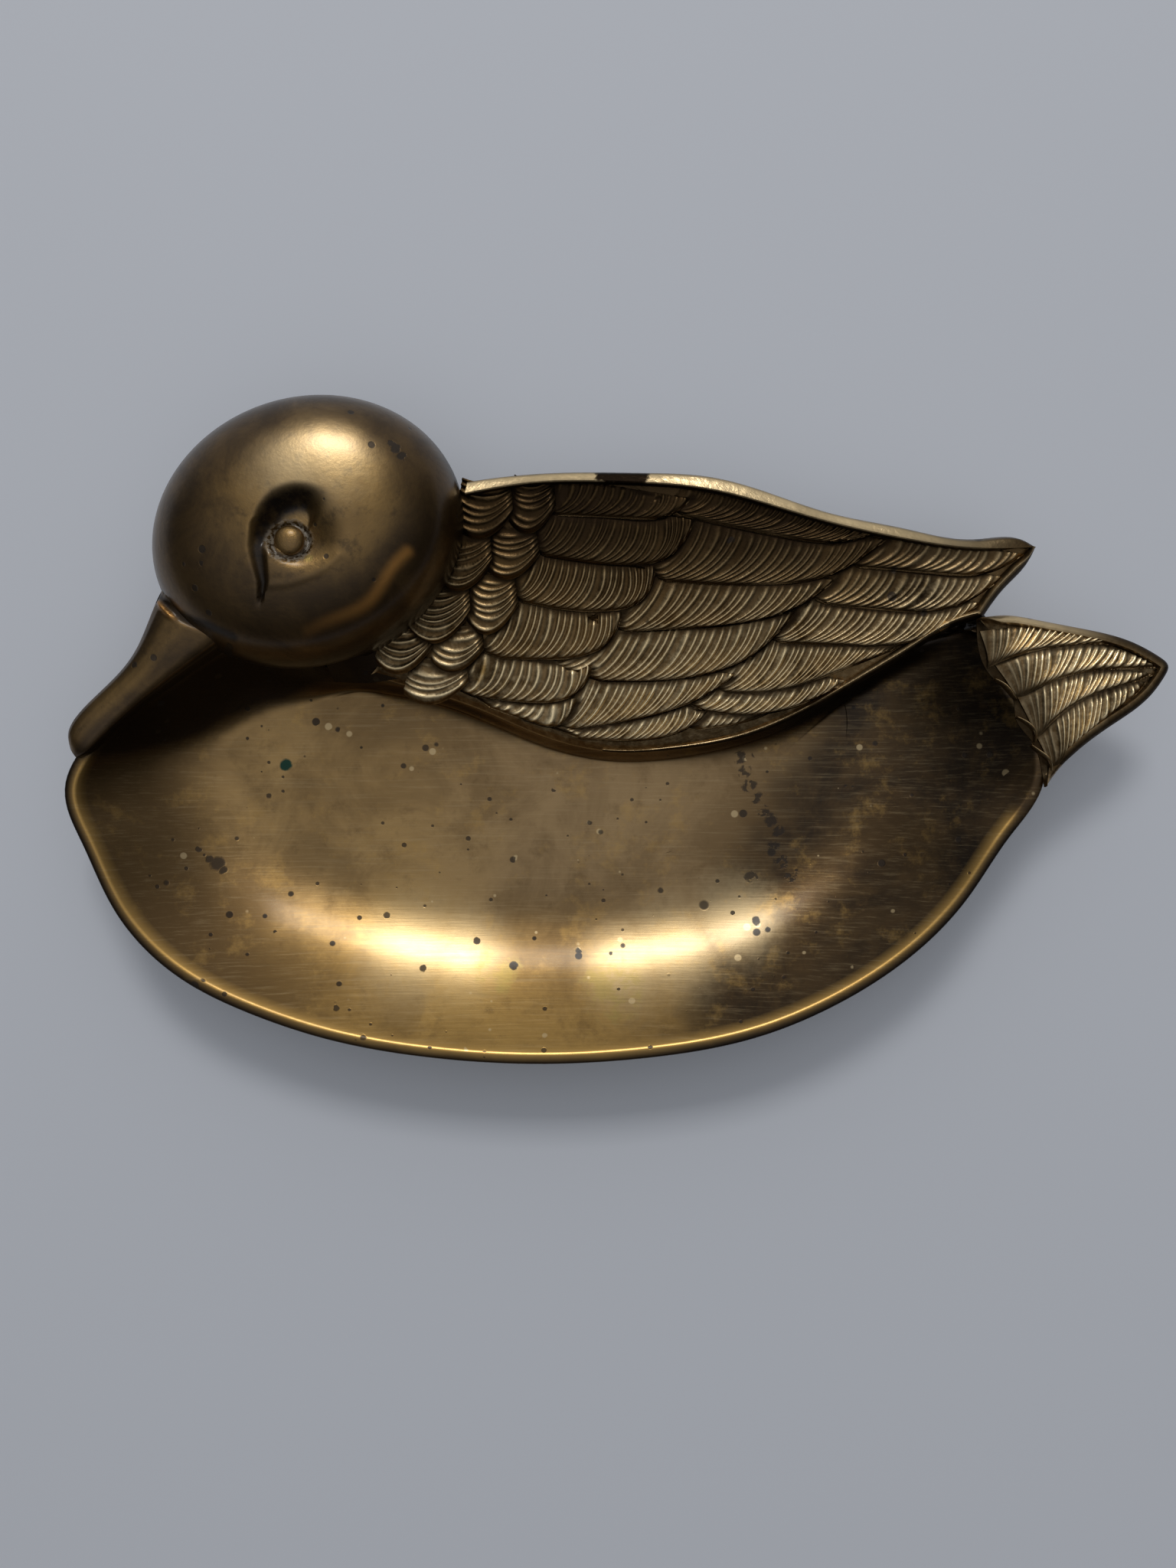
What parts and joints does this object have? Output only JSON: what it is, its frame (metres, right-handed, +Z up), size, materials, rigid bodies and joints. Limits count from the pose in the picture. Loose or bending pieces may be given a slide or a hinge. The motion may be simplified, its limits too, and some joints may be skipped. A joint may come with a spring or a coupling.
{
  "type": "duck-shaped brass dish",
  "caption": "Shallow cast-brass dish in the shape of a resting duck, with a domed head, a feathered wing and tail, and an open bowl.",
  "frame": {"origin": "centre of the flat foot under the bowl, on the table", "axes": "+X from the bill towards the tail, +Y from the belly towards the head's crown and the wing's rim, +Z up"},
  "size_m": [0.1889, 0.1128, 0.034],
  "materials": {
    "bowl_brass": "brushed and worn, with spots of tarnish",
    "feather_brass": "cast relief, dark in the grooves and polished on the ridges",
    "head_brass": "brown patina over a satin polish",
    "eye_brass": "brown patina"
  },
  "bodies": {
    "root": {"dish": "bowl_brass", "wing": "feather_brass", "tail": "feather_brass", "head": "head_brass", "bill": "head_brass", "eye": "eye_brass"}
  },
  "joints": []
}
